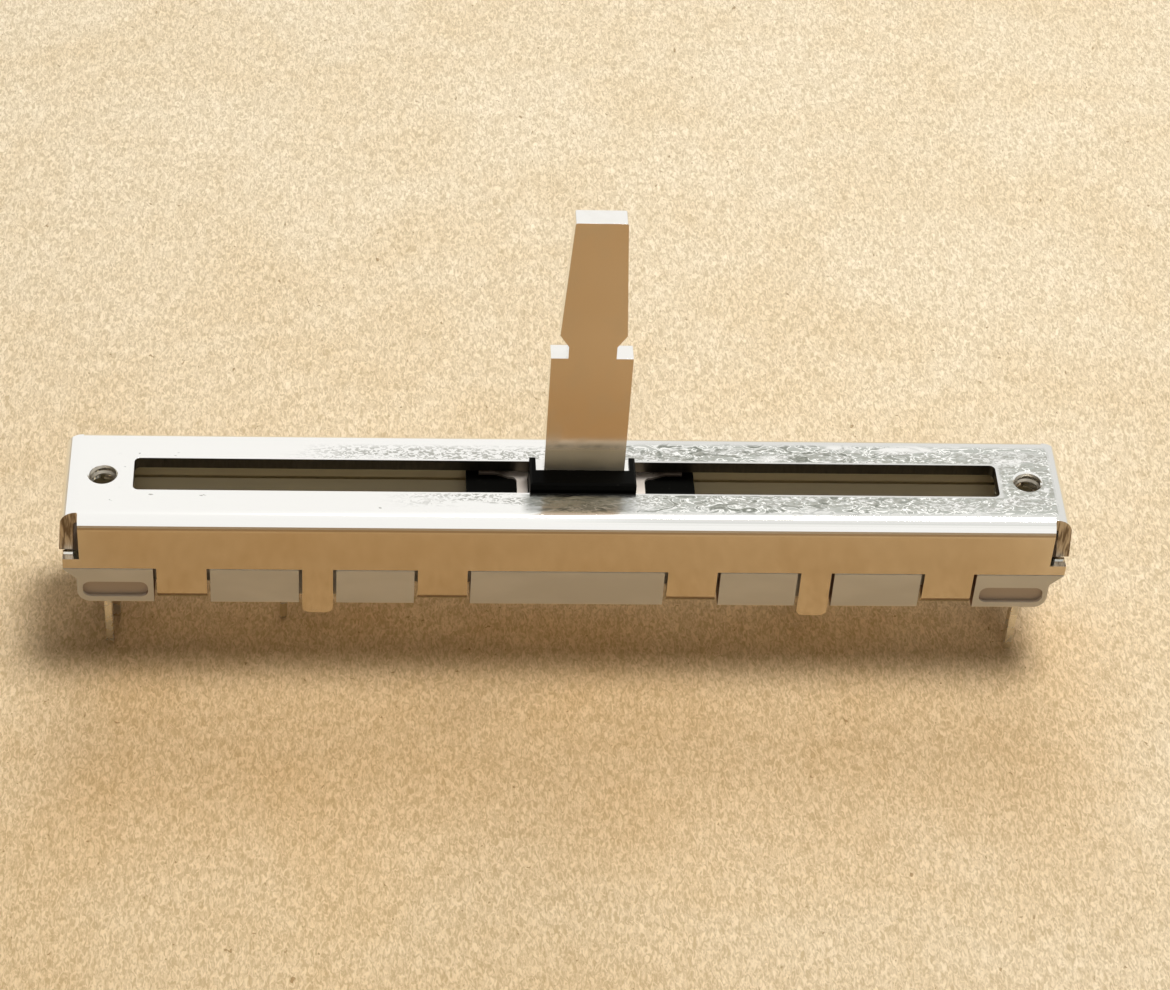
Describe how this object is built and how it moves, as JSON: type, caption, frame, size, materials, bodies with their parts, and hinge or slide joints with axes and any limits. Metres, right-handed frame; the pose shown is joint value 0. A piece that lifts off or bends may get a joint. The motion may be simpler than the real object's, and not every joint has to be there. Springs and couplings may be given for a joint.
{
  "type": "slide potentiometer",
  "caption": "Dual slide potentiometer with a folded metal cover, moulded base, flat metal lever in a long slot, and solder pins below.",
  "frame": {"origin": "midway between the two tapped panel holes, on the outer face of the cover", "axes": "+X along the travel to the right, -Y the front long side, +Z out of the panel along the lever"},
  "size_m": [0.061, 0.008, 0.0311],
  "materials": {
    "plated_sheet": "bright tin plate, lightly scuffed",
    "plated_lever": "bright plate",
    "spring_steel": "bright",
    "tinned_brass": "tinned, satin",
    "phosphor_bronze": "satin",
    "grey_moulding": "matt moulded",
    "black_moulding": "glossy moulded",
    "phenolic_laminate": "matt",
    "carbon_print": "matt",
    "collector_print": "satin",
    "silver_print": "matt"
  },
  "bodies": {
    "housing": {"cover": "plated_sheet", "base": "grey_moulding", "track_board": "phenolic_laminate", "resistive_track_front": "carbon_print", "resistive_track_rear": "carbon_print", "collector_track_front": "collector_print", "collector_track_rear": "collector_print", "silver_leads": "silver_print", "eyelets": "tinned_brass", "terminal_front_left": "tinned_brass", "terminal_front_right": "tinned_brass", "terminal_rear_left": "tinned_brass", "terminal_rear_right": "tinned_brass", "collector_terminal_end": "tinned_brass", "collector_terminal_mid": "tinned_brass"},
    "slider": {"carriage": "black_moulding", "lever": "plated_lever", "glide_spring": "spring_steel", "wiper_front": "phosphor_bronze", "wiper_rear": "phosphor_bronze"}
  },
  "joints": [
    {"name": "slider_travel", "type": "slide", "parent": "housing", "child": "slider", "axis": [1, 0, 0], "range_m": [-0.02305, 0.02145]}
  ]
}
